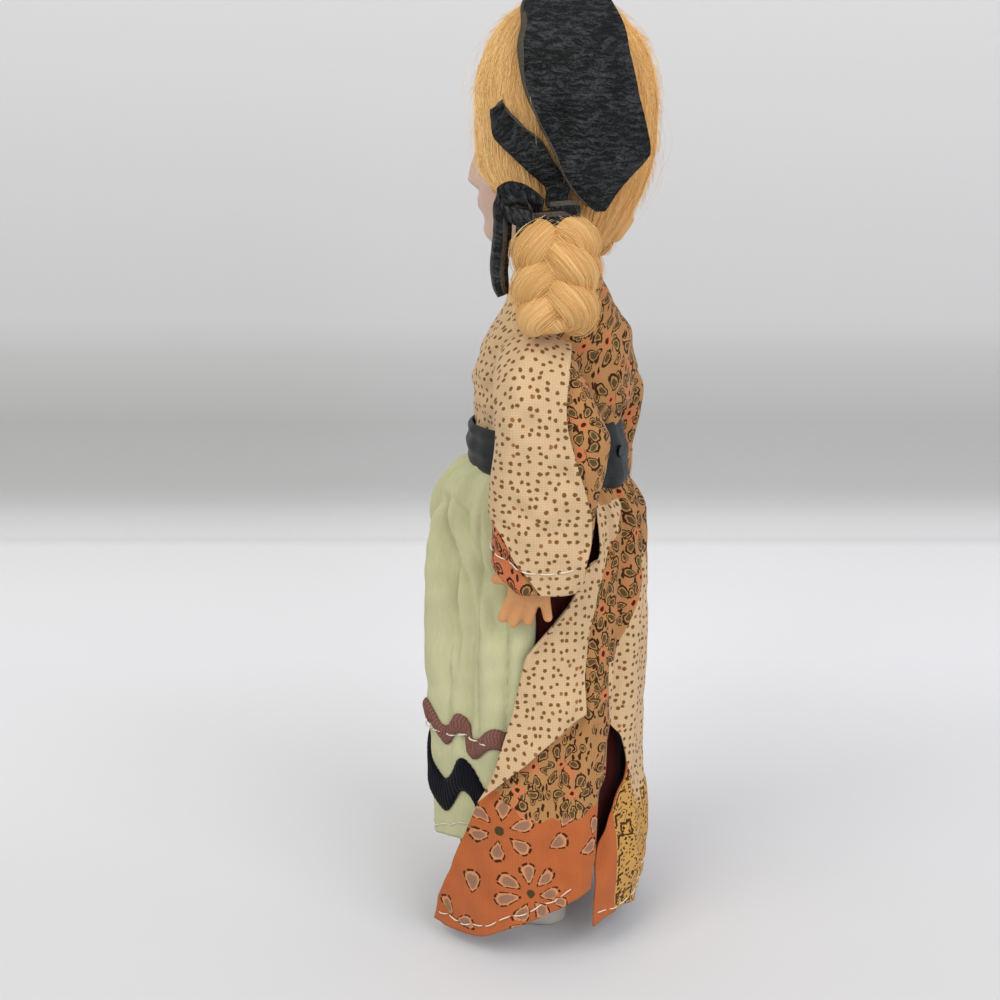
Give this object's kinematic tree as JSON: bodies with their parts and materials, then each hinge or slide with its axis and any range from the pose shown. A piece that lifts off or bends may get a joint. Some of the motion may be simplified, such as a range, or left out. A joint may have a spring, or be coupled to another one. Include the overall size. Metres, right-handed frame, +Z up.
{
  "type": "folk costume doll",
  "caption": "Plastic folk costume doll with looped braids, winged black hat, kimono-sleeved print dress, sash and trimmed apron; head and arms turn, eyes close.",
  "frame": {"origin": "middle of the standing doll's box, on the floor under its shoes", "axes": "+Z up through the head, -Y the way the doll faces, +X its own left side"},
  "size_m": [0.0606, 0.05, 0.2065],
  "materials": {
    "skin_plastic": "semi-matt moulded, tan peach",
    "face_plastic": "semi-matt moulded, pale pink",
    "eye_plastic": "gloss with a painted iris",
    "lead_weight": "dull grey",
    "wire": "bright wire",
    "elastic": "woven, off white",
    "shoe_plastic": "gloss black",
    "print_cotton": "plain-weave cotton print in orange, brown and cream",
    "dark_cotton": "dark maroon cotton",
    "sage_cotton": "soft sage-green cotton",
    "mauve_rickrack": "woven zigzag braid, mauve brown",
    "navy_rickrack": "woven zigzag braid, navy",
    "satin_belt": "charcoal satin",
    "snap_metal": "bright",
    "mohair": "combed golden blond hair",
    "leatherette": "black grained leatherette with a grey-brown backing"
  },
  "bodies": {
    "torso": {"body_front_shell": "skin_plastic", "body_back_shell": "skin_plastic", "left_shoe": "shoe_plastic", "right_shoe": "shoe_plastic", "arm_elastic": "elastic", "underskirt": "dark_cotton", "overskirt": "print_cotton", "apron": "sage_cotton", "apron_mauve_trim": "mauve_rickrack", "apron_navy_trim": "navy_rickrack", "bodice": "print_cotton", "belt": "satin_belt", "belt_snap": "snap_metal"},
    "head": {"head_front_shell": "face_plastic", "head_back_shell": "face_plastic", "wig": "mohair", "left_braid": "mohair", "right_braid": "mohair", "left_tie_knot": "leatherette", "right_tie_knot": "leatherette", "left_tie_upper_tail": "leatherette", "right_tie_upper_tail": "leatherette", "left_tie_lower_tail": "leatherette", "right_tie_lower_tail": "leatherette", "hat_left_wing": "leatherette", "hat_right_wing": "leatherette", "hat_knot": "leatherette"},
    "eyes": {"left_eye": "eye_plastic", "right_eye": "eye_plastic", "eye_rocker": "lead_weight"},
    "left_arm": {"left_arm": "skin_plastic", "left_arm_pin": "wire", "left_sleeve": "print_cotton"},
    "right_arm": {"right_arm": "skin_plastic", "right_arm_pin": "wire", "right_sleeve": "print_cotton"}
  },
  "joints": [
    {"name": "neck_turn", "type": "hinge", "parent": "torso", "child": "head", "pos_m": [0, 0.00306, 0.134], "axis": [0, 0, 1], "range_deg": [-75, 75]},
    {"name": "left_shoulder_swing", "type": "hinge", "parent": "torso", "child": "left_arm", "pos_m": [0.0157, 0.00406, 0.126], "axis": [1, 0, 0], "range_deg": [-85, 40]},
    {"name": "right_shoulder_swing", "type": "hinge", "parent": "torso", "child": "right_arm", "pos_m": [-0.0157, 0.00406, 0.126], "axis": [1, 0, 0], "range_deg": [-85, 40]},
    {"name": "eyes_close", "type": "hinge", "parent": "head", "child": "eyes", "pos_m": [0, -0.00514, 0.1665], "axis": [1, 0, 0], "range_deg": [0, 60]}
  ]
}
